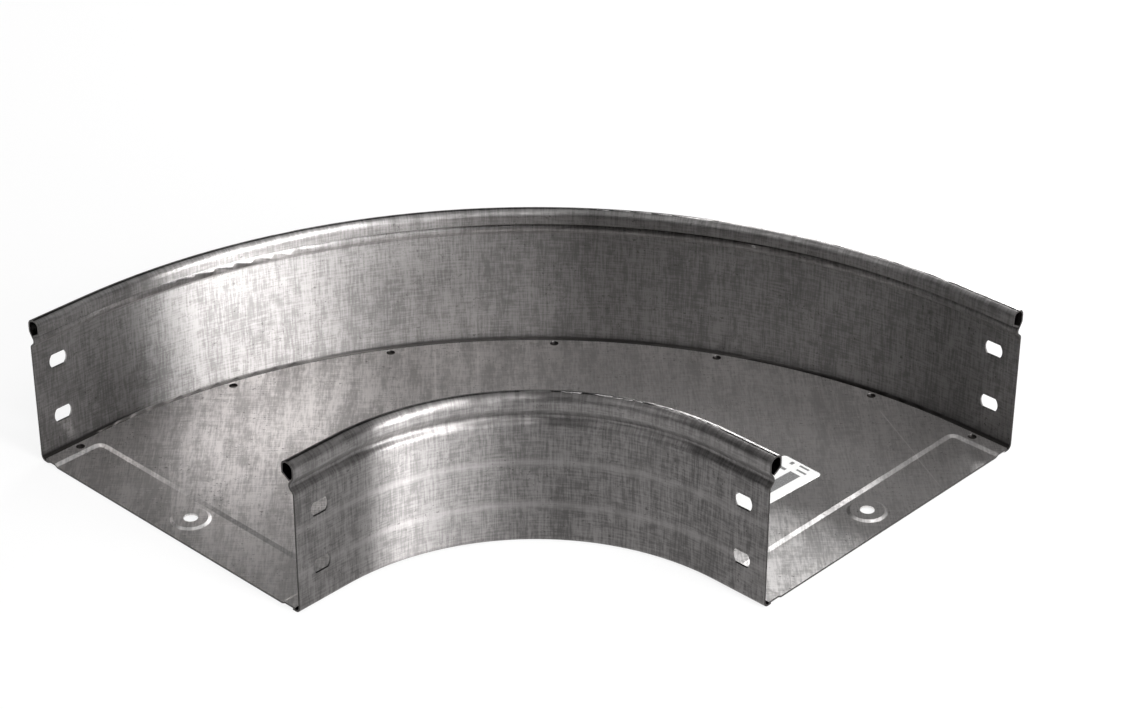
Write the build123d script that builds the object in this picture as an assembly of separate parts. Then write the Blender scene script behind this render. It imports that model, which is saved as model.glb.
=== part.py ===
from build123d import *
from math import cos, radians, sin, sqrt
import os

# Flat 90 degree bend of a cable tray, in millimetres.
# A bottom sheet lies on the inward feet of two curved side walls and is held to them by press joints.
# Both side walls are one folded sheet each: foot, bend, wall, neck and a rolled curl along the top.

# Driving sizes
TRAY_WIDTH = 200.0
TRAY_HEIGHT = 85.0
INNER_RADIUS = 125.0
STRAIGHT_END = 33.0
SHEET = 1.0

# Side wall section, measured inward from the wall's outer face and down from the top of the curl
FOOT_WIDTH = 10.5
FOOT_BEND = 3.0
FOOT_TIP_WIDTH = 5.2
FOOT_SNIP_LENGTH = 5.0
SHOULDER_DROP = 16.4
SHOULDER_RADIUS = 3.0
NECK_DROP = 13.4
NECK_DEPTH = 3.6
NECK_RADIUS = 2.2
CURL_FOOT_DROP = 8.0
CURL_FOOT_RADIUS = 3.0
CROWN_RADIUS = 4.0
CURL_REACH = 8.4
NOSE_RADIUS = 3.4
NOSE_DROP = 7.5
LIP_DROP = 10.4
LIP_GAP = 0.6

# Connector slots near both ends of each wall: a circle with two flats
SLOT_LENGTH = 11.0
SLOT_HEIGHT = 7.8
SLOT_FROM_END = 15.5
SLOT_LOW = 22.0
SLOT_PITCH = 32.5

# Bottom sheet
EDGE_CLEARANCE = 0.6
STEP_CLEARANCE = 0.3
STEP_RUN = 2.2
END_FIELD_DEPTH = 28.4
END_FIELD_CORNER = 3.0
BOSS_DIAMETER = 21.0
BOSS_SLOPE = 1.6
BOSS_RISE = 0.9
FLOOR_HOLE_DIAMETER = 7.5
FLOOR_HOLE_FROM_END = 16.3

# Press joints between bottom sheet and feet; the two shares are of the sheet's thickness
PRESS_RADIUS = 2.7
PRESS_TAPER = 0.3
PRESS_WALL = 0.3
PRESS_DEPTH_SHARE = 0.6
PRESS_FLOOR_SHARE = 0.4
PRESS_CLEARANCE = 0.1
PRESS_FROM_END = 20.0
PRESS_FIRST_DEG = 9.3
PRESS_PITCH_DEG = 16.4
OUTER_PRESS_COUNT = 5
INNER_PRESS_EVERY = 2

# Sticker on the bottom sheet
LABEL_LENGTH = 58.0
LABEL_WIDTH = 26.0
LABEL_THICKNESS = 0.15
LABEL_CORNER = 2.0
LABEL_FROM_INNER_WALL = 81.0
LABEL_ALONG = 35.0
LABEL_TURN_DEG = -2.7

# Sizes that follow from the ones above
OUTER_RADIUS = INNER_RADIUS + TRAY_WIDTH
END_PLANE = -STRAIGHT_END
CENTRE_SHIFT = (OUTER_RADIUS + END_PLANE) / 2
SHEET_TOP = 2 * SHEET
SHEET_EDGE = FOOT_BEND + EDGE_CLEARANCE
FIELD_MARGIN = FOOT_WIDTH + STEP_CLEARANCE + STEP_RUN
PRESS_LINE = (SHEET_EDGE + FOOT_WIDTH) / 2
PRESS_DEPTH = PRESS_DEPTH_SHARE * SHEET
PRESS_FLOOR = PRESS_FLOOR_SHARE * SHEET
MIRROR_PLANE = Plane(origin=(0, 0, 0), z_dir=(1, -1, 0))


def both_ends(shape):
    """The shape at the right-hand end together with its mirror image at the left-hand end."""
    return shape + mirror(shape, about=MIRROR_PLANE)


def wall_line():
    """Outer side of the folded sheet, from the foot's edge round the curl to its lip: (inward, up)."""
    lean = NECK_DEPTH / (NECK_DROP - CURL_FOOT_DROP)
    neck_face = (LIP_DROP - CURL_FOOT_DROP) * lean + SHEET * sqrt(1 + lean**2)
    corners = [
        (FOOT_WIDTH, 0),
        (0, 0),
        (0, TRAY_HEIGHT - SHOULDER_DROP),
        (NECK_DEPTH, TRAY_HEIGHT - NECK_DROP),
        (0, TRAY_HEIGHT - CURL_FOOT_DROP),
        (0, TRAY_HEIGHT),
        (CURL_REACH, TRAY_HEIGHT),
        (CURL_REACH, TRAY_HEIGHT - NOSE_DROP),
        (neck_face + LIP_GAP, TRAY_HEIGHT - LIP_DROP),
    ]
    radii = [FOOT_BEND, SHOULDER_RADIUS, NECK_RADIUS, CURL_FOOT_RADIUS, CROWN_RADIUS, NOSE_RADIUS, 0]
    return FilletPolyline(*corners, radius=radii)


def wall_section(face_radius, inward):
    """Section of a side wall in the XZ plane: inward is -1 for the outer wall and +1 for the inner one."""
    sheet = offset(wall_line(), amount=SHEET, side=Side.RIGHT, closed=True)
    face = make_face(sheet)
    if inward < 0:
        face = mirror(face, about=Plane.YZ)
    return Plane.XZ * Pos(face_radius, 0) * face


def swept_wall(section):
    """A wall section carried along one straight end, round the bend and along the other straight end."""
    bend = revolve(section, axis=Axis.Z, revolution_arc=90)
    straight = extrude(section, amount=STRAIGHT_END, dir=(0, -1, 0))
    return bend + both_ends(straight)


def slot_cutter(face_radius):
    """Cutters for the two slots at the right-hand end of a wall."""
    outline = Circle(SLOT_LENGTH / 2) & Rectangle(SLOT_LENGTH, SLOT_HEIGHT)
    reach = 2 * (NECK_DEPTH + SHEET)
    cutters = []
    for height in (SLOT_LOW, SLOT_LOW + SLOT_PITCH):
        centre = (face_radius, END_PLANE + SLOT_FROM_END, height)
        plane = Plane(origin=centre, x_dir=(0, 1, 0), z_dir=(1, 0, 0))
        cutters.append(extrude(plane * outline, amount=reach, both=True))
    return cutters[0] + cutters[1]


def foot_snip(face_radius, inward):
    """Cutter that tapers the foot at the right-hand end, so that it doesn't foul the next tray."""
    tip = face_radius + inward * FOOT_TIP_WIDTH
    edge = face_radius + inward * FOOT_WIDTH
    beyond = edge + inward * SHEET
    outline = Polyline(
        (tip, END_PLANE - SHEET),
        (tip, END_PLANE),
        (edge, END_PLANE + FOOT_SNIP_LENGTH),
        (beyond, END_PLANE + FOOT_SNIP_LENGTH),
        (beyond, END_PLANE - SHEET),
        close=True,
    )
    return extrude(make_face(outline), amount=SHEET, both=True)


def press_places(face_radius, inward, every):
    """Centres of the press joints along one wall."""
    radius = face_radius + inward * PRESS_LINE
    along = END_PLANE + PRESS_FROM_END
    places = [(radius, along), (along, radius)]
    for index in range(0, OUTER_PRESS_COUNT, every):
        angle = radians(PRESS_FIRST_DEG + index * PRESS_PITCH_DEG)
        places.append((radius * cos(angle), radius * sin(angle)))
    return places


def outer_places():
    """Press joints along the outer wall."""
    return press_places(OUTER_RADIUS, -1, 1)


def inner_places():
    """Press joints along the inner wall."""
    return press_places(INNER_RADIUS, 1, INNER_PRESS_EVERY)


def cup(top_radius, depth):
    """A tapered round cup hanging below the origin."""
    return Pos(0, 0, -depth / 2) * Cone(top_radius - PRESS_TAPER, top_radius, depth)


def side_wall(face_radius, inward, places):
    """One side wall with its slots, tapered feet and the sockets of its press joints."""
    wall = swept_wall(wall_section(face_radius, inward))
    wall -= both_ends(slot_cutter(face_radius))
    wall -= both_ends(foot_snip(face_radius, inward))
    socket = cup(PRESS_RADIUS + PRESS_CLEARANCE, PRESS_DEPTH + PRESS_CLEARANCE / 2)
    for x, y in places:
        wall -= Pos(x, y, SHEET) * socket
    return wall


def sheet_plan():
    """Outline of the bottom sheet, which stops short of the bends under both walls."""
    inner = INNER_RADIUS + SHEET_EDGE
    outer = OUTER_RADIUS - SHEET_EDGE
    half = cos(radians(45))
    edges = [
        Line((inner, END_PLANE), (outer, END_PLANE)),
        Line((outer, END_PLANE), (outer, 0)),
        ThreePointArc((outer, 0), (outer * half, outer * half), (0, outer)),
        Line((0, outer), (END_PLANE, outer)),
        Line((END_PLANE, outer), (END_PLANE, inner)),
        Line((END_PLANE, inner), (0, inner)),
        ThreePointArc((0, inner), (inner * half, inner * half), (inner, 0)),
        Line((inner, 0), (inner, END_PLANE)),
    ]
    return make_face(Wire(edges))


def end_field():
    """The lowered field at the right-hand end: a sunk pan with sloping sides, open at the end."""
    length = 2 * END_FIELD_DEPTH
    width = TRAY_WIDTH - 2 * FIELD_MARGIN
    centre = (INNER_RADIUS + OUTER_RADIUS) / 2
    low = Pos(centre, END_PLANE) * RectangleRounded(width, length, END_FIELD_CORNER)
    grown = 2 * STEP_RUN
    corner = END_FIELD_CORNER + STEP_RUN
    high = Pos(centre, END_PLANE, SHEET) * RectangleRounded(width + grown, length + grown, corner)
    pan = loft([low, high], ruled=True)
    cut = Pos(centre, END_PLANE + length / 2) * Box(2 * width, length, 4 * SHEET)
    return pan & cut


def hole_boss():
    """The raised round boss that surrounds the floor hole at the right-hand end."""
    centre = (INNER_RADIUS + OUTER_RADIUS) / 2
    top = BOSS_DIAMETER / 2 - BOSS_SLOPE
    cone = Cone(BOSS_DIAMETER / 2, top, BOSS_RISE, align=(Align.CENTER, Align.CENTER, Align.MIN))
    return Pos(centre, END_PLANE + FLOOR_HOLE_FROM_END) * cone


def floor_hole():
    """Cutter for the floor hole at the right-hand end."""
    centre = (INNER_RADIUS + OUTER_RADIUS) / 2
    return Pos(centre, END_PLANE + FLOOR_HOLE_FROM_END) * Cylinder(FLOOR_HOLE_DIAMETER / 2, 8 * SHEET)


def bottom_sheet():
    """The bottom sheet: raised over the feet, stepped down to ground level at both ends."""
    sheet = Pos(0, 0, SHEET) * extrude(sheet_plan(), amount=SHEET)
    field = both_ends(end_field())
    sheet += field
    sheet -= Pos(0, 0, SHEET) * field
    boss = both_ends(hole_boss())
    sheet += Pos(0, 0, SHEET) * boss
    sheet -= boss
    sheet -= both_ends(floor_hole())
    pressed = cup(PRESS_RADIUS, PRESS_DEPTH)
    hollow = cup(PRESS_RADIUS - PRESS_WALL, SHEET + PRESS_DEPTH - PRESS_FLOOR)
    for x, y in outer_places() + inner_places():
        sheet += Pos(x, y, SHEET) * pressed
        sheet -= Pos(x, y, SHEET_TOP) * hollow
    return sheet


def label():
    """Thin rounded sticker on the bottom sheet, near the right-hand end."""
    outline = RectangleRounded(LABEL_LENGTH, LABEL_WIDTH, LABEL_CORNER)
    place = Pos(INNER_RADIUS + LABEL_FROM_INNER_WALL, LABEL_ALONG, SHEET_TOP)
    return place * Rot(0, 0, LABEL_TURN_DEG) * extrude(outline, amount=LABEL_THICKNESS)


def main():
    """Build every piece about the bend's centre, then put the origin below the middle of the part."""
    os.makedirs("parts", exist_ok=True)
    pieces = {
        "outer_side_wall": side_wall(OUTER_RADIUS, -1, outer_places()),
        "inner_side_wall": side_wall(INNER_RADIUS, 1, inner_places()),
        "bottom_sheet": bottom_sheet(),
        "label": label(),
    }
    for node, shape in pieces.items():
        export_step(Pos(-CENTRE_SHIFT, -CENTRE_SHIFT, 0) * shape, "parts/" + node + ".step")


main()
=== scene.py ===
import logging
from dataclasses import dataclass, field
from enum import Enum
from math import cos, pi, radians, sin, sqrt

import bpy
from mathutils import Matrix, Vector


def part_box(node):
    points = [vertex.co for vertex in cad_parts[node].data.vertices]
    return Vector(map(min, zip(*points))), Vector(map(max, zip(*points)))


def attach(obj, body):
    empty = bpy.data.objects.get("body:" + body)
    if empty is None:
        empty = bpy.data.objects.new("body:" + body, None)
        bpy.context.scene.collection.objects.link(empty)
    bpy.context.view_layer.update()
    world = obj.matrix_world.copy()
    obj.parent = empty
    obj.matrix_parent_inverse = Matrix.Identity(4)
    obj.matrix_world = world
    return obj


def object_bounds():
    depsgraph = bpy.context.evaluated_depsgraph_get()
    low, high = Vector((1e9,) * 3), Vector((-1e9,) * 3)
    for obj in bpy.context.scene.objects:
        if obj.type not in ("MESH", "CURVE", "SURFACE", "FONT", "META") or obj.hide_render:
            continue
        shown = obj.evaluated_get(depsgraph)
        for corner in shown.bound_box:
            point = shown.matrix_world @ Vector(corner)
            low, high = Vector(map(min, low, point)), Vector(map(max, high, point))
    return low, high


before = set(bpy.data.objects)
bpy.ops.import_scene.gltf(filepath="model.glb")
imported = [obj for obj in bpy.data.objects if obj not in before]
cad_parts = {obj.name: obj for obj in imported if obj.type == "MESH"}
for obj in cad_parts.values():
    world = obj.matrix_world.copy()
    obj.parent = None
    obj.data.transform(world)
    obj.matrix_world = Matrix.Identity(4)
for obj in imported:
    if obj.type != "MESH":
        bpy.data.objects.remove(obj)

LOG = logging.getLogger("tray_bend")
CAD_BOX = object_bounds()

# Plan of the bend in metres: its two ends lie on the box's low planes, and the radii are those of the walls'
# outer faces
STRAIGHT_END = 0.033
TRAY_WIDTH = 0.200
END_PLANE = CAD_BOX[0].x
BEND_CENTRE = Vector((END_PLANE + STRAIGHT_END, END_PLANE + STRAIGHT_END, 0.0))
OUTER_RADIUS = CAD_BOX[1].x - BEND_CENTRE.x
INNER_RADIUS = OUTER_RADIUS - TRAY_WIDTH

# Heights above the ground in metres: the bottom sheet's top, the painted seam shade at a wall's foot, the
# start of its rim
SHEET_TOP = 0.002
SEAM_SHADE_LOW = 0.0022
SEAM_SHADE_HIGH = 0.0036
RIM_FOOT = 0.0680
RIM_START = 0.0688

# Distances in metres: into a wall's sheet to reach its inner side, the strip along a wall that holds the
# press joints, the least depth of their hollows, and how far from an end plane a point counts as cut edge
# They place the painted shade of the seam and the press hollows, and the darkened cut edges.
INNER_SIDE_DEPTH = 0.0008
PRESS_ZONE = 0.0105
HOLLOW_DEPTH = 0.0001
EDGE_SLACK = 0.00004

ROOT_HALF = sqrt(0.5)
MIDDLE_OF_NOISE = 0.5

Colour = tuple[float, float, float]
Range = tuple[float, float]


class StretchDirection(Enum):
    """Which way a rolled sheet draws out its highlights."""

    UPRIGHT = (0.0, 0.0, 1.0)
    ALONG_BISECTOR = (ROOT_HALF, ROOT_HALF, 0.0)


class SurfaceLayout(Enum):
    """How a material unrolls the part's surface into flat coordinates."""

    WALL = "wall"
    SHEET = "sheet"


def opaque(colour: Colour, lift: float = 1.0) -> tuple[float, float, float, float]:
    """Colour with full alpha, made paler by a factor."""
    return (*(lift * part for part in colour), 1.0)


def pointing(azimuth_deg: float, elevation_deg: float) -> Vector:
    """Unit vector towards a direction.

    Args:
        azimuth_deg: angle in the ground plane, from +X towards +Y.
        elevation_deg: angle above the ground plane.

    Returns:
        The unit vector.
    """
    azimuth = radians(azimuth_deg)
    elevation = radians(elevation_deg)
    return Vector((cos(azimuth) * cos(elevation), sin(azimuth) * cos(elevation), sin(elevation)))


class NodeSheet:
    """Adds nodes to one node tree and wires them up."""

    def __init__(self, tree: bpy.types.NodeTree) -> None:
        """Start on a tree.

        Args:
            tree: the node tree to fill.
        """
        self.tree = tree

    def add(self, kind: str, **settings: object) -> bpy.types.Node:
        """Add one node.

        Args:
            kind: the node's Blender type name.
            settings: properties to set on the node.

        Returns:
            The new node.
        """
        node = self.tree.nodes.new(kind)
        for name, value in settings.items():
            setattr(node, name, value)
        return node

    def feed(self, socket: bpy.types.NodeSocket, value: object) -> None:
        """Give an input either a link or a plain value.

        Args:
            socket: the input.
            value: an output socket, or a plain value.
        """
        if isinstance(value, bpy.types.NodeSocket):
            self.tree.links.new(value, socket)
        else:
            socket.default_value = value

    def math(self, operation: str, first: object, second: object = 0.0) -> bpy.types.NodeSocket:
        """Add a Math node.

        Args:
            operation: the node's operation.
            first: first value or output.
            second: second value or output.

        Returns:
            The node's output.
        """
        node = self.add("ShaderNodeMath", operation=operation)
        self.feed(node.inputs[0], first)
        self.feed(node.inputs[1], second)
        return node.outputs[0]

    def vector(self, operation: str, first: object, second: object = (0.0, 0.0, 0.0)) -> bpy.types.NodeSocket:
        """Add a Vector Math node.

        Args:
            operation: the node's operation.
            first: first vector or output.
            second: second vector or output.

        Returns:
            The node's vector output, or its value for a dot product.
        """
        node = self.add("ShaderNodeVectorMath", operation=operation)
        self.feed(node.inputs[0], first)
        self.feed(node.inputs[1], second)
        return node.outputs["Value" if operation == "DOT_PRODUCT" else "Vector"]

    def remap(
        self, value: object, low: float, high: float, start: float = 0.0, end: float = 1.0
    ) -> bpy.types.NodeSocket:
        """Carry a value smoothly from one range to another.

        Args:
            value: the value to carry over.
            low: where the old range starts.
            high: where the old range ends.
            start: what low becomes.
            end: what high becomes.

        Returns:
            The new value.
        """
        node = self.add("ShaderNodeMapRange", interpolation_type="SMOOTHSTEP")
        self.feed(node.inputs["Value"], value)
        node.inputs["From Min"].default_value = low
        node.inputs["From Max"].default_value = high
        node.inputs["To Min"].default_value = start
        node.inputs["To Max"].default_value = end
        return node.outputs["Result"]

    def choose(self, where: object, normally: object, there: object) -> bpy.types.NodeSocket:
        """Pick between two values.

        Args:
            where: mask, 1 where the second value holds.
            normally: the value where the mask is 0.
            there: the value where the mask is 1.

        Returns:
            The picked value.
        """
        node = self.add("ShaderNodeMix", data_type="FLOAT")
        self.feed(node.inputs["Factor"], where)
        self.feed(node.inputs["A"], normally)
        self.feed(node.inputs["B"], there)
        return node.outputs["Result"]

    def blend_colours(self, amount: object, first: object, second: object) -> bpy.types.NodeSocket:
        """Mix two colours.

        Args:
            amount: share of the second colour.
            first: first colour or output.
            second: second colour or output.

        Returns:
            The mixed colour.
        """
        node = self.add("ShaderNodeMix", data_type="RGBA")
        self.feed(node.inputs["Factor"], amount)
        self.feed(node.inputs["A"], first)
        self.feed(node.inputs["B"], second)
        return [out for out in node.outputs if out.type == "RGBA"][0]

    def bump(self, height: object, distance: float) -> bpy.types.Node:
        """Add a Bump node.

        Args:
            height: the height map's output.
            distance: what a height of 1 stands for, in metres.

        Returns:
            The node.
        """
        node = self.add("ShaderNodeBump")
        node.inputs["Distance"].default_value = distance
        self.feed(node.inputs["Height"], height)
        return node

    def combine(self, x: object, y: object) -> bpy.types.NodeSocket:
        """Join two values into a flat vector.

        Args:
            x: first value or output.
            y: second value or output.

        Returns:
            The vector.
        """
        node = self.add("ShaderNodeCombineXYZ")
        self.feed(node.inputs["X"], x)
        self.feed(node.inputs["Y"], y)
        return node.outputs[0]

    def split(self, vector: object) -> list[bpy.types.NodeSocket]:
        """Split a vector into its three values.

        Args:
            vector: the vector.

        Returns:
            The three values.
        """
        node = self.add("ShaderNodeSeparateXYZ")
        self.feed(node.inputs[0], vector)
        return list(node.outputs)

    def object_place(self) -> bpy.types.NodeSocket:
        """The shaded point in the part's own frame, in metres."""
        return self.add("ShaderNodeTexCoord").outputs["Object"]


def start_material(name: str) -> tuple[bpy.types.Material, NodeSheet, bpy.types.Node]:
    """Make a material that has a Principled shader.

    Args:
        name: the material's name.

    Returns:
        The material, its node sheet and its shader.
    """
    material = bpy.data.materials.new(name)
    material.use_nodes = True
    return material, NodeSheet(material.node_tree), material.node_tree.nodes["Principled BSDF"]


@dataclass(frozen=True)
class Grain:
    """A noise pattern: cells per metre, octaves, the finer octaves' weight, factors on the two flat axes."""

    scale: float
    detail: float
    roughness: float = 0.5
    close: float = 1.0
    wide: float = 1.0

    def lay(self, sheet: NodeSheet, place: bpy.types.NodeSocket) -> bpy.types.NodeSocket:
        """Draw the pattern.

        Args:
            sheet: the node sheet to draw on.
            place: coordinates in metres.

        Returns:
            The noise value.
        """
        node = sheet.add("ShaderNodeTexNoise")
        sheet.feed(node.inputs["Vector"], sheet.vector("MULTIPLY", place, (self.close, self.wide, 1.0)))
        node.inputs["Scale"].default_value = self.scale
        node.inputs["Detail"].default_value = self.detail
        node.inputs["Roughness"].default_value = self.roughness
        return node.outputs["Fac"]


@dataclass(frozen=True)
class EffectGroup:
    """A shader node group that several materials share."""

    name: str

    def start(self, inputs: dict[str, str], outputs: dict[str, str]) -> tuple[NodeSheet, dict, dict]:
        """Make the group's tree and its named sockets.

        Args:
            inputs: name to socket type of each input.
            outputs: name to socket type of each output.

        Returns:
            The node sheet, the inputs' inner sockets and the outputs' inner sockets.
        """
        tree = bpy.data.node_groups.new(self.name, "ShaderNodeTree")
        for name, kind in inputs.items():
            tree.interface.new_socket(name=name, in_out="INPUT", socket_type=kind)
        for name, kind in outputs.items():
            tree.interface.new_socket(name=name, in_out="OUTPUT", socket_type=kind)
        sheet = NodeSheet(tree)
        source = sheet.add("NodeGroupInput")
        sink = sheet.add("NodeGroupOutput")
        return sheet, {n: source.outputs[n] for n in inputs}, {n: sink.inputs[n] for n in outputs}

    def place(self, sheet: NodeSheet, **values: object) -> dict[str, bpy.types.NodeSocket]:
        """Put the group into a material.

        Args:
            sheet: the material's node sheet.
            values: input name to value or output.

        Returns:
            Output name to output socket.
        """
        node = sheet.add("ShaderNodeGroup", node_tree=self.tree())
        for name, value in values.items():
            sheet.feed(node.inputs[name], value)
        return {out.name: out for out in node.outputs}

    def tree(self) -> bpy.types.NodeTree:
        """The group's tree, built on first use.

        Returns:
            The node tree.
        """
        if self.name not in bpy.data.node_groups:
            self.build()
        return bpy.data.node_groups[self.name]

    def build(self) -> None:
        """Build the group's nodes."""
        raise NotImplementedError


class TrayCoordinates(EffectGroup):
    """Unrolls the bend: distance along the tray, distance from the bend's centre line and height."""

    def build(self) -> None:
        """Build the group's nodes."""
        sheet, given, out = self.start(
            {"Radius": "NodeSocketFloat"},
            {"Along": "NodeSocketFloat", "Across": "NodeSocketFloat", "Up": "NodeSocketFloat"},
        )
        x, y, z = sheet.split(sheet.vector("SUBTRACT", sheet.object_place(), tuple(BEND_CENTRE)))
        right_end = sheet.math("LESS_THAN", y, 0.0)
        left_end = sheet.math("LESS_THAN", x, 0.0)
        arc = sheet.math("MULTIPLY", sheet.math("ARCTAN2", y, x), given["Radius"])
        quarter = sheet.math("MULTIPLY", given["Radius"], pi / 2)
        along = sheet.choose(right_end, arc, y)
        along = sheet.choose(left_end, along, sheet.math("SUBTRACT", quarter, x))
        squares = sheet.math("ADD", sheet.math("MULTIPLY", x, x), sheet.math("MULTIPLY", y, y))
        across = sheet.choose(right_end, sheet.math("SQRT", squares), x)
        across = sheet.choose(left_end, across, y)
        sheet.feed(out["Along"], along)
        sheet.feed(out["Across"], across)
        sheet.feed(out["Up"], z)


@dataclass(frozen=True)
class ZincPatina(EffectGroup):
    """Clouds, streaks, crossed fine lines, dark specks and waves of a zinc coat, laid out in metres."""

    broad_clouds: Grain = Grain(28.0, detail=3.0, roughness=0.55)
    fine_clouds: Grain = Grain(190.0, detail=4.0, roughness=0.72)
    streaks: Grain = Grain(14.0, detail=4.0, roughness=0.6, close=9.0)
    lines: Grain = Grain(78.0, detail=3.0, roughness=0.65, close=12.0)
    weave: Grain = Grain(78.0, detail=3.0, roughness=0.65, wide=12.0)
    dots: Grain = Grain(520.0, detail=1.0)
    dotted_areas: Grain = Grain(60.0, detail=1.0)
    waves: Grain = Grain(55.0, detail=2.0, wide=0.25)
    fine_share: float = 0.55
    cloud_range: Range = (0.36, 0.64)
    line_range: Range = (0.34, 0.66)
    dot_range: Range = (0.62, 0.74)
    dotted_range: Range = (0.46, 0.62)

    def build(self) -> None:
        """Build the group's nodes."""
        sheet, given, out = self.start(
            {"Coordinates": "NodeSocketVector"},
            dict.fromkeys(("Clouds", "Streaks", "Lines", "Weave", "Specks", "Waves"), "NodeSocketFloat"),
        )
        flat = given["Coordinates"]
        clouds = sheet.math(
            "ADD",
            sheet.math("MULTIPLY", self.broad_clouds.lay(sheet, flat), 1.0 - self.fine_share),
            sheet.math("MULTIPLY", self.fine_clouds.lay(sheet, flat), self.fine_share),
        )
        sheet.feed(out["Clouds"], sheet.remap(clouds, *self.cloud_range))
        for name, grain in (("Streaks", self.streaks), ("Lines", self.lines), ("Weave", self.weave)):
            sheet.feed(out[name], sheet.remap(grain.lay(sheet, flat), *self.line_range))
        dots = sheet.remap(self.dots.lay(sheet, flat), *self.dot_range)
        dotted = sheet.remap(self.dotted_areas.lay(sheet, flat), *self.dotted_range)
        sheet.feed(out["Specks"], sheet.math("MULTIPLY", dots, dotted))
        sheet.feed(out["Waves"], self.waves.lay(sheet, flat))


TRAY_COORDINATES = TrayCoordinates("tray_coordinates")
ZINC_PATINA = ZincPatina("zinc_patina")


@dataclass(frozen=True)
class ScratchAndReflection:
    """A straight pale line on a flat surface, used for a real scrape and for painted reflections, from one
    flat point to another, faded towards both ends.
    """

    start: tuple[float, float]
    end: tuple[float, float]
    strength: float
    width: float = 0.0006
    solid_share: float = 0.7

    def mask(self, sheet: NodeSheet, flat: bpy.types.NodeSocket) -> bpy.types.NodeSocket:
        """Mask of the line.

        Args:
            sheet: the material's node sheet.
            flat: flat coordinates in metres.

        Returns:
            The mask, up to the line's strength.
        """
        step = Vector((self.end[0] - self.start[0], self.end[1] - self.start[1], 0.0))
        along = step.normalized()
        half = step.length / 2
        from_start = sheet.vector("SUBTRACT", flat, (*self.start, 0.0))
        reach = sheet.vector("DOT_PRODUCT", from_start, tuple(along))
        aside = sheet.vector("DOT_PRODUCT", from_start, (-along.y, along.x, 0.0))
        thin = sheet.remap(sheet.math("ABSOLUTE", aside), 0.0, self.width, self.strength, 0.0)
        from_middle = sheet.math("ABSOLUTE", sheet.math("SUBTRACT", reach, half))
        faded = sheet.remap(from_middle, self.solid_share * half, half, 1.0, 0.0)
        return sheet.math("MULTIPLY", thin, faded)


@dataclass(frozen=True)
class SurfacePlace:
    """Where a shaded point lies: flat coordinates, distance from the bend's centre and height, in metres."""

    flat: bpy.types.NodeSocket
    across: bpy.types.NodeSocket
    up: bpy.types.NodeSocket


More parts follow.
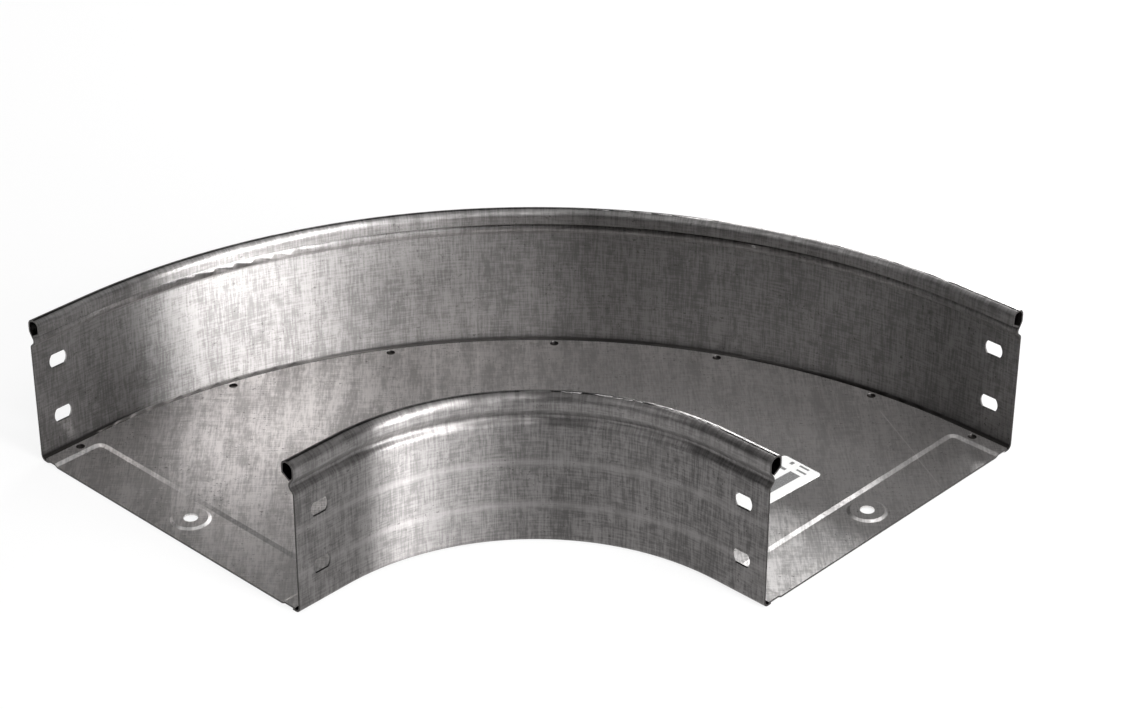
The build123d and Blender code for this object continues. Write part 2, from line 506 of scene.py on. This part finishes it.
@dataclass(frozen=True)
class GalvanisedSteel:
    """Hot-dip galvanised rolled sheet: anisotropic grey metal with clouds, lines and dark specks."""

    name: str
    layout: SurfaceLayout
    stretch: StretchDirection
    radius: float = OUTER_RADIUS
    tone: Colour = (0.342, 0.331, 0.328)
    dark_tone: Colour = (0.20, 0.193, 0.191)
    speck_and_shade_tone: Colour = (0.07, 0.066, 0.064)
    roughness: float = 0.40
    roughness_swing: float = 0.03
    rim_roughness: float = 0.32
    anisotropy: float = 1.0
    cloud_share: float = 0.26
    streak_share: float = 0.18
    line_share: float = 0.32
    weave_share: float = 0.24
    contrast: Range = (0.20, 0.80)
    speck_strength: float = 0.6
    wave_height: float = 0.00004
    tooth_height: float = 0.000004
    band_heights: tuple[float, ...] = ()
    band_width: float = 0.0035
    band_strength: float = 0.5
    band_lift: float = 1.25
    scratches_and_reflections: tuple[ScratchAndReflection, ...] = ()
    scratch_and_reflection_lift: float = 1.6

    def build(self) -> bpy.types.Material:
        """Make the material.

        Returns:
            The finished material.
        """
        material, sheet, shader = start_material(self.name)
        place = self.locate(sheet)
        patina = ZINC_PATINA.place(sheet, Coordinates=place.flat)
        lightness = self.lightness(sheet, patina)
        rim = sheet.remap(place.up, RIM_FOOT, RIM_START)
        dull, shiny = self.roughness + self.roughness_swing, self.roughness - self.roughness_swing
        rough = sheet.remap(lightness, 0.0, 1.0, dull, shiny)
        shader.inputs["Metallic"].default_value = 1.0
        shader.inputs["Anisotropic"].default_value = self.anisotropy
        sheet.feed(shader.inputs["Base Color"], self.colour(sheet, place, patina, lightness))
        sheet.feed(shader.inputs["Roughness"], sheet.choose(rim, rough, self.rim_roughness))
        sheet.feed(shader.inputs["Tangent"], self.tangent(sheet))
        waves = sheet.bump(sheet.choose(rim, patina["Waves"], MIDDLE_OF_NOISE), self.wave_height)
        tooth = sheet.bump(lightness, self.tooth_height)
        sheet.feed(tooth.inputs["Normal"], waves.outputs["Normal"])
        sheet.feed(shader.inputs["Normal"], tooth.outputs["Normal"])
        return material

    def locate(self, sheet: NodeSheet) -> SurfacePlace:
        """Find the shaded point on the unrolled surface, its first flat axis across the fine lines.

        Args:
            sheet: the material's node sheet.

        Returns:
            The point's place.
        """
        unrolled = TRAY_COORDINATES.place(sheet, Radius=self.radius)
        if self.layout is SurfaceLayout.WALL:
            flat = sheet.combine(unrolled["Along"], unrolled["Up"])
        else:
            place = sheet.object_place()
            right = sheet.vector("DOT_PRODUCT", place, (ROOT_HALF, -ROOT_HALF, 0.0))
            back = sheet.vector("DOT_PRODUCT", place, (ROOT_HALF, ROOT_HALF, 0.0))
            flat = sheet.combine(right, back)
        return SurfacePlace(flat, unrolled["Across"], unrolled["Up"])

    def lightness(self, sheet: NodeSheet, patina: dict[str, bpy.types.NodeSocket]) -> bpy.types.NodeSocket:
        """Mix the patina's patterns into one map of pale and dark zinc.

        Args:
            sheet: the material's node sheet.
            patina: the patina's outputs.

        Returns:
            The map, 1 where the zinc is palest.
        """
        shares = {
            "Clouds": self.cloud_share,
            "Streaks": self.streak_share,
            "Lines": self.line_share,
            "Weave": self.weave_share,
        }
        total: object = 0.0
        for name, share in shares.items():
            total = sheet.math("ADD", total, sheet.math("MULTIPLY", patina[name], share))
        return sheet.remap(total, *self.contrast)

    def colour(
        self,
        sheet: NodeSheet,
        place: SurfacePlace,
        patina: dict[str, bpy.types.NodeSocket],
        lightness: bpy.types.NodeSocket,
    ) -> bpy.types.NodeSocket:
        """Colour of the metal: bands, scrapes, painted reflection lines, specks, painted shade in hollows or
        seam, and cut edges.

        Args:
            sheet: the material's node sheet.
            place: the shaded point's place.
            patina: the patina's outputs.
            lightness: the map of pale and dark zinc.

        Returns:
            The colour.
        """
        colour = sheet.blend_colours(lightness, opaque(self.dark_tone), opaque(self.tone))
        if self.band_heights:
            banded = sheet.math("MULTIPLY", self.bands(sheet, place.up), self.band_strength)
            colour = sheet.blend_colours(banded, colour, opaque(self.tone, self.band_lift))
        # Pale lines: a real scrape, and painted reflection lines.
        for pale_line in self.scratches_and_reflections:
            pale_line_mask = pale_line.mask(sheet, place.flat)
            colour = sheet.blend_colours(pale_line_mask, colour, opaque(self.tone, self.scratch_and_reflection_lift))
        # Dark specks are the zinc's own; the seam, the press hollows and part of the cut edges' darkness are
        # painted shade.
        specks = sheet.math("MULTIPLY", patina["Specks"], self.speck_strength)
        painted_shade = self.painted_seam_shade if self.layout is SurfaceLayout.WALL else self.painted_hollow_shade
        for mask in (specks, painted_shade(sheet, place), self.cut_edge_steel_and_shade(sheet)):
            colour = sheet.blend_colours(mask, colour, opaque(self.speck_and_shade_tone))
        return colour

    def tangent(self, sheet: NodeSheet) -> bpy.types.NodeSocket:
        """Direction in which the highlights are drawn out.

        Args:
            sheet: the material's node sheet.

        Returns:
            The tangent vector.
        """
        normal = sheet.add("ShaderNodeNewGeometry").outputs["Normal"]
        side = sheet.vector("CROSS_PRODUCT", self.stretch.value, normal)
        return sheet.vector("NORMALIZE", sheet.vector("CROSS_PRODUCT", normal, side))

    def cut_edge_steel_and_shade(self, sheet: NodeSheet) -> bpy.types.NodeSocket:
        """Mask of the sheared edges at the tray's two ends, darkened partly as raw steel and partly as
        painted shade.

        Args:
            sheet: the material's node sheet.

        Returns:
            The mask, 1 on an edge.
        """
        x, y, _ = sheet.split(sheet.object_place())
        reach = END_PLANE + EDGE_SLACK
        return sheet.math("MAXIMUM", sheet.math("LESS_THAN", x, reach), sheet.math("LESS_THAN", y, reach))

    def bands(self, sheet: NodeSheet, up: bpy.types.NodeSocket) -> bpy.types.NodeSocket:
        """Mask of the pale bands that the bending rollers polish along a wall.

        Args:
            sheet: the material's node sheet.
            up: height above the ground.

        Returns:
            The mask, 1 in the middle of a band.
        """
        total: object = 0.0
        for height in self.band_heights:
            distance = sheet.math("ABSOLUTE", sheet.math("SUBTRACT", up, height))
            total = sheet.math("ADD", total, sheet.remap(distance, 0.0, self.band_width, 1.0, 0.0))
        return total

    def painted_hollow_shade(self, sheet: NodeSheet, place: SurfacePlace) -> bpy.types.NodeSocket:
        """Mask of painted shade in the hollows of the press joints, which lie along both walls.

        Args:
            sheet: the material's node sheet.
            place: the shaded point's place.

        Returns:
            The mask, 1 in a hollow.
        """
        # Painted shade: hollows below the sheet's top near the walls are darkened.
        by_outer = sheet.math("GREATER_THAN", place.across, OUTER_RADIUS - PRESS_ZONE)
        by_inner = sheet.math("LESS_THAN", place.across, INNER_RADIUS + PRESS_ZONE)
        below = sheet.math("LESS_THAN", place.up, SHEET_TOP - HOLLOW_DEPTH)
        return sheet.math("MULTIPLY", sheet.math("MAXIMUM", by_outer, by_inner), below)

    def painted_seam_shade(self, sheet: NodeSheet, place: SurfacePlace) -> bpy.types.NodeSocket:
        """Mask of painted shade in the seam where a wall bends into its foot beside the bottom sheet.

        Args:
            sheet: the material's node sheet.
            place: the shaded point's place.

        Returns:
            The mask, 1 at the bottom of the bend's inner side.
        """
        from_face = sheet.math("ABSOLUTE", sheet.math("SUBTRACT", place.across, self.radius))
        inside = sheet.math("GREATER_THAN", from_face, INNER_SIDE_DEPTH)
        above = sheet.math("GREATER_THAN", place.up, INNER_SIDE_DEPTH)
        # Painted shade: the bend's inner side is darkened just above the bottom sheet.
        low = sheet.remap(place.up, SEAM_SHADE_LOW, SEAM_SHADE_HIGH, 1.0, 0.0)
        return sheet.math("MULTIPLY", low, sheet.math("MULTIPLY", inside, above))


@dataclass(frozen=True)
class LabelPaper:
    """Coated white label paper with a faint tooth."""

    name: str = "label_paper"
    tone: Colour = (0.86, 0.86, 0.85)
    dull_tone: Colour = (0.78, 0.78, 0.77)
    roughness: float = 0.4
    roughness_swing: float = 0.06
    tooth: Grain = Grain(900.0, detail=3.0)
    tooth_range: Range = (0.2, 0.8)

    def build(self) -> bpy.types.Material:
        """Make the material.

        Returns:
            The finished material.
        """
        material, sheet, shader = start_material(self.name)
        tooth = self.tooth.lay(sheet, sheet.object_place())
        colour = sheet.blend_colours(tooth, opaque(self.tone), opaque(self.dull_tone))
        smooth, dull = self.roughness - self.roughness_swing, self.roughness + self.roughness_swing
        sheet.feed(shader.inputs["Base Color"], colour)
        sheet.feed(shader.inputs["Roughness"], sheet.remap(tooth, *self.tooth_range, smooth, dull))
        return material


@dataclass(frozen=True)
class PrintInk:
    """Dark or grey print on the label, slightly uneven."""

    name: str
    tone: Colour
    worn_tone: Colour
    roughness: float = 0.5
    wear: Grain = Grain(1400.0, detail=2.0)
    wear_range: Range = (0.5, 0.75)

    def build(self) -> bpy.types.Material:
        """Make the material.

        Returns:
            The finished material.
        """
        material, sheet, shader = start_material(self.name)
        wear = sheet.remap(self.wear.lay(sheet, sheet.object_place()), *self.wear_range)
        colour = sheet.blend_colours(wear, opaque(self.tone), opaque(self.worn_tone))
        sheet.feed(shader.inputs["Base Color"], colour)
        shader.inputs["Roughness"].default_value = self.roughness
        return material


def dress(node: str, material: bpy.types.Material) -> None:
    """Give a CAD node its finish.

    Args:
        node: the CAD node's name.
        material: the finish.
    """
    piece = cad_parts[node]
    if not piece.material_slots:
        piece.data.materials.append(material)
    for slot in piece.material_slots:
        slot.link = "OBJECT"
        slot.material = material
    LOG.info("%s dressed in %s", node, material.name)


@dataclass
class SideWalls:
    """Both folded side walls, with their rolled rims."""

    outer_finish: GalvanisedSteel = GalvanisedSteel(
        "outer_wall_zinc",
        SurfaceLayout.WALL,
        StretchDirection.UPRIGHT,
    )
    inner_finish: GalvanisedSteel = GalvanisedSteel(
        "inner_wall_zinc",
        SurfaceLayout.WALL,
        StretchDirection.UPRIGHT,
        radius=INNER_RADIUS,
        # Darker tones than the outer wall's on the same zinc: painted shade.
        tone=(0.252, 0.242, 0.239),
        dark_tone=(0.140, 0.134, 0.132),
        band_heights=(0.022, 0.047),
    )

    def build(self) -> None:
        """Dress the walls."""
        dress("outer_side_wall", self.outer_finish.build())
        dress("inner_side_wall", self.inner_finish.build())


@dataclass
class BottomSheet:
    """The stepped bottom sheet."""

    finish: GalvanisedSteel = GalvanisedSteel(
        "bottom_sheet_zinc",
        SurfaceLayout.SHEET,
        StretchDirection.ALONG_BISECTOR,
        # Much paler tones than the walls' on the same zinc: painted light.
        tone=(0.76, 0.738, 0.729),
        dark_tone=(0.42, 0.407, 0.402),
        roughness=0.37,
        anisotropy=0.3,
        cloud_share=0.30,
        streak_share=0.28,
        line_share=0.26,
        weave_share=0.16,
        wave_height=0.00003,
        tooth_height=0.000001,
        scratches_and_reflections=(
            ScratchAndReflection((0.1865, 0.042), (0.2127, -0.042), strength=0.45),
            # The next two lines are painted reflections, not scrapes.
            ScratchAndReflection((-0.0500, 0.108), (-0.0487, 0.052), strength=0.35, width=0.0009),
            ScratchAndReflection((-0.0262, 0.106), (-0.0262, 0.051), strength=0.35, width=0.0009),
        ),
    )

    def build(self) -> None:
        """Dress the sheet."""
        dress("bottom_sheet", self.finish.build())


@dataclass(frozen=True)
class PrintField:
    """A plain printed rectangle: its centre along and across the label, its length and width, in metres."""

    along: float
    across: float
    length: float
    width: float

    def corners(self) -> list[Vector]:
        """The four corners in the label's own axes.

        Returns:
            The corners in turn.
        """
        half_length, half_width = self.length / 2, self.width / 2
        signs = ((-1, -1), (1, -1), (1, 1), (-1, 1))
        return [Vector((self.along + x * half_length, self.across + y * half_width, 0.0)) for x, y in signs]


@dataclass
class Label:
    """The sticker on the bottom sheet with plain printed fields and no lettering."""

    paper: LabelPaper = LabelPaper()
    dark_ink: PrintInk = PrintInk("label_dark_ink", (0.05, 0.05, 0.05), (0.16, 0.16, 0.16))
    grey_ink: PrintInk = PrintInk("label_grey_ink", (0.17, 0.17, 0.17), (0.36, 0.36, 0.36))
    turn_deg: float = -2.7
    lift: float = 0.00002
    dark_fields: tuple[PrintField, ...] = (
        PrintField(0.0186, 0.0098, 0.0052, 0.0014),
        PrintField(-0.0060, 0.0098, 0.0150, 0.0014),
    )
    grey_fields: tuple[PrintField, ...] = (
        PrintField(0.0028, -0.0032, 0.0335, 0.0069),
        PrintField(0.0188, 0.0048, 0.0020, 0.0036),
        PrintField(0.0258, 0.0048, 0.0026, 0.0020),
        PrintField(0.0268, -0.0029, 0.0014, 0.0064),
        PrintField(0.0229, -0.0042, 0.0014, 0.0065),
        PrintField(-0.0080, 0.0050, 0.0180, 0.0012),
    )

    def build(self) -> None:
        """Dress the label and lay its print on it."""
        dress("label", self.paper.build())
        mesh = self.print_mesh()
        mesh.materials.append(self.dark_ink.build())
        mesh.materials.append(self.grey_ink.build())
        for face in mesh.polygons:
            face.material_index = int(face.index >= len(self.dark_fields))
        piece = bpy.data.objects.new("label_print", mesh)
        bpy.context.scene.collection.objects.link(piece)
        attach(piece, "root")
        LOG.info("label_print with %d fields", len(mesh.polygons))

    def print_mesh(self) -> bpy.types.Mesh:
        """Lay the fields just above the label, turned as it is.

        Returns:
            The mesh, with the dark fields' faces before the grey ones'.
        """
        low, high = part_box("label")
        centre = (low + high) / 2
        centre.z = high.z + self.lift
        turn = Matrix.Rotation(radians(self.turn_deg), 3, "Z")
        corners = []
        faces = []
        for printed in self.dark_fields + self.grey_fields:
            around = [tuple(centre + turn @ corner) for corner in printed.corners()]
            faces.append(tuple(range(len(corners), len(corners) + len(around))))
            corners.extend(around)
        mesh = bpy.data.meshes.new("label_print")
        mesh.from_pydata(corners, [], faces)
        return mesh


@dataclass
class StudioFloor:
    """A large pale floor just under the part, which keeps its shadow."""

    radius: float = 14.0
    drop: float = 0.0003
    tone: Colour = (0.88, 0.88, 0.88)
    roughness: float = 0.9
    whiteness: float = 0.82
    sides: int = 96

    def material(self) -> bpy.types.Material:
        """Floor that is mostly plain white to the camera and in the metal, and keeps shadows in the rest.

        Returns:
            The floor's material.
        """
        material, sheet, shader = start_material("studio_floor")
        shader.inputs["Base Color"].default_value = opaque(self.tone)
        shader.inputs["Roughness"].default_value = self.roughness
        glow = sheet.add("ShaderNodeEmission")
        path = sheet.add("ShaderNodeLightPath").outputs
        seen = sheet.math("MAXIMUM", path["Is Camera Ray"], path["Is Glossy Ray"])
        seen = sheet.math("MAXIMUM", seen, path["Is Transmission Ray"])
        mix = sheet.add("ShaderNodeMixShader")
        sheet.feed(mix.inputs[0], sheet.math("MULTIPLY", seen, self.whiteness))
        sheet.feed(mix.inputs[1], shader.outputs["BSDF"])
        sheet.feed(mix.inputs[2], glow.outputs["Emission"])
        sheet.feed(material.node_tree.nodes["Material Output"].inputs["Surface"], mix.outputs["Shader"])
        return material

    def build(self) -> None:
        """Lay the floor under the part."""
        rim = []
        for step in range(self.sides):
            angle = 2 * pi * step / self.sides
            rim.append((self.radius * cos(angle), self.radius * sin(angle), -self.drop))
        mesh = bpy.data.meshes.new("studio_floor")
        mesh.from_pydata(rim, [], [tuple(range(self.sides))])
        mesh.materials.append(self.material())
        floor = bpy.data.objects.new("studio_floor", mesh)
        bpy.context.scene.collection.objects.link(floor)
        LOG.info("floor laid, %.0f m across", 2 * self.radius)


@dataclass(frozen=True)
class Softbox:
    """A soft rectangular studio lamp that points at the part: power in watts, sizes in metres."""

    name: str
    azimuth_deg: float
    elevation_deg: float
    power: float
    width: float = 0.55
    height: float = 0.55
    distance: float = 1.8

    def build(self, aim: Vector) -> None:
        """Hang the lamp.

        Args:
            aim: the point that the lamp faces.
        """
        out = pointing(self.azimuth_deg, self.elevation_deg)
        lamp = bpy.data.lights.new(self.name, "AREA")
        lamp.shape = "RECTANGLE"
        lamp.size = self.width
        lamp.size_y = self.height
        lamp.energy = self.power
        holder = bpy.data.objects.new(self.name, lamp)
        holder.location = aim + out * self.distance
        holder.rotation_euler = out.to_track_quat("Z", "Y").to_euler()
        bpy.context.scene.collection.objects.link(holder)
        LOG.info("%s at %.0f degrees", self.name, self.azimuth_deg)


@dataclass
class Studio:
    """World light, floor and softboxes."""

    world_tone: Colour = (0.02, 0.02, 0.02)
    aim_height: float = 0.04
    floor: StudioFloor = field(default_factory=StudioFloor)
    softboxes: tuple[Softbox, ...] = (
        Softbox("key_softbox", -90.0, 22.0, 22.0, width=0.54, height=0.75),
        Softbox("key_low_softbox", -85.0, 9.0, 12.0, width=0.40, height=0.50),
        Softbox("key_edge_softbox", -77.5, 9.0, 6.0, width=0.21, height=0.50),
        Softbox("key_high_softbox", -94.5, 56.0, 8.0, width=0.28, height=0.60),
        Softbox("key_middle_softbox", -99.0, 36.0, 5.0, width=0.56, height=0.45),
        Softbox("front_low_softbox", -110.5, 8.0, 7.5, width=0.75, height=0.30),
        Softbox("front_softbox", -126.5, 46.0, 4.5),
        Softbox("front_left_softbox", 178.5, 50.0, 3.6, width=1.1),
        Softbox("right_softbox", -43.5, 14.5, 3.4, width=0.90, height=0.85),
        Softbox("right_high_softbox", -14.5, 47.0, 3.0, width=0.60, height=0.60),
        Softbox("back_softbox", 3.5, 28.0, 6.0),
        Softbox("back_right_softbox", 29.5, 25.0, 3.4, width=0.45, height=0.45),
        Softbox("back_low_softbox", 23.5, 10.0, 24.0, width=0.80),
        Softbox("left_softbox", 133.5, 8.0, 2.0),
        Softbox("top_softbox", 0.0, 89.9, 11.0, width=2.4, height=2.4),
    )

    def build(self) -> None:
        """Set up the studio."""
        world = bpy.data.worlds.new("studio_world")
        world.use_nodes = True
        world.node_tree.nodes["Background"].inputs["Color"].default_value = opaque(self.world_tone)
        bpy.context.scene.world = world
        self.floor.build()
        for softbox in self.softboxes:
            softbox.build(Vector((0.0, 0.0, self.aim_height)))


@dataclass
class StudioCamera:
    """The camera at the photograph's angle: distances in metres, lens and sensor in millimetres."""

    target: tuple[float, float, float] = (0.0872, 0.0571, 0.0)
    azimuth_deg: float = -136.53
    elevation_deg: float = 30.49
    roll_deg: float = 0.19
    distance: float = 1.651
    lens: float = 95.43
    sensor: float = 36.0
    clip_end: float = 60.0

    def build(self) -> None:
        """Place the camera and make it the scene's own."""
        back = pointing(self.azimuth_deg, self.elevation_deg)
        level = Vector((0.0, 0.0, 1.0)).cross(back).normalized()
        raised = back.cross(level)
        roll = radians(self.roll_deg)
        right = level * cos(roll) + raised * sin(roll)
        up = raised * cos(roll) - level * sin(roll)
        camera = bpy.data.cameras.new("camera")
        camera.lens = self.lens
        camera.sensor_width = self.sensor
        camera.sensor_fit = "HORIZONTAL"
        camera.clip_end = self.clip_end
        holder = bpy.data.objects.new("camera", camera)
        turn = Matrix((right, up, back)).transposed().to_4x4()
        holder.matrix_world = Matrix.Translation(Vector(self.target) + back * self.distance) @ turn
        bpy.context.scene.collection.objects.link(holder)
        bpy.context.scene.camera = holder


def main() -> None:
    """Build the studio and dress the part."""
    logging.basicConfig(level=logging.INFO)
    bpy.context.scene.view_settings.view_transform = "Standard"
    StudioCamera().build()
    Studio().build()
    SideWalls().build()
    BottomSheet().build()
    Label().build()


if __name__ == "__main__":
    main()
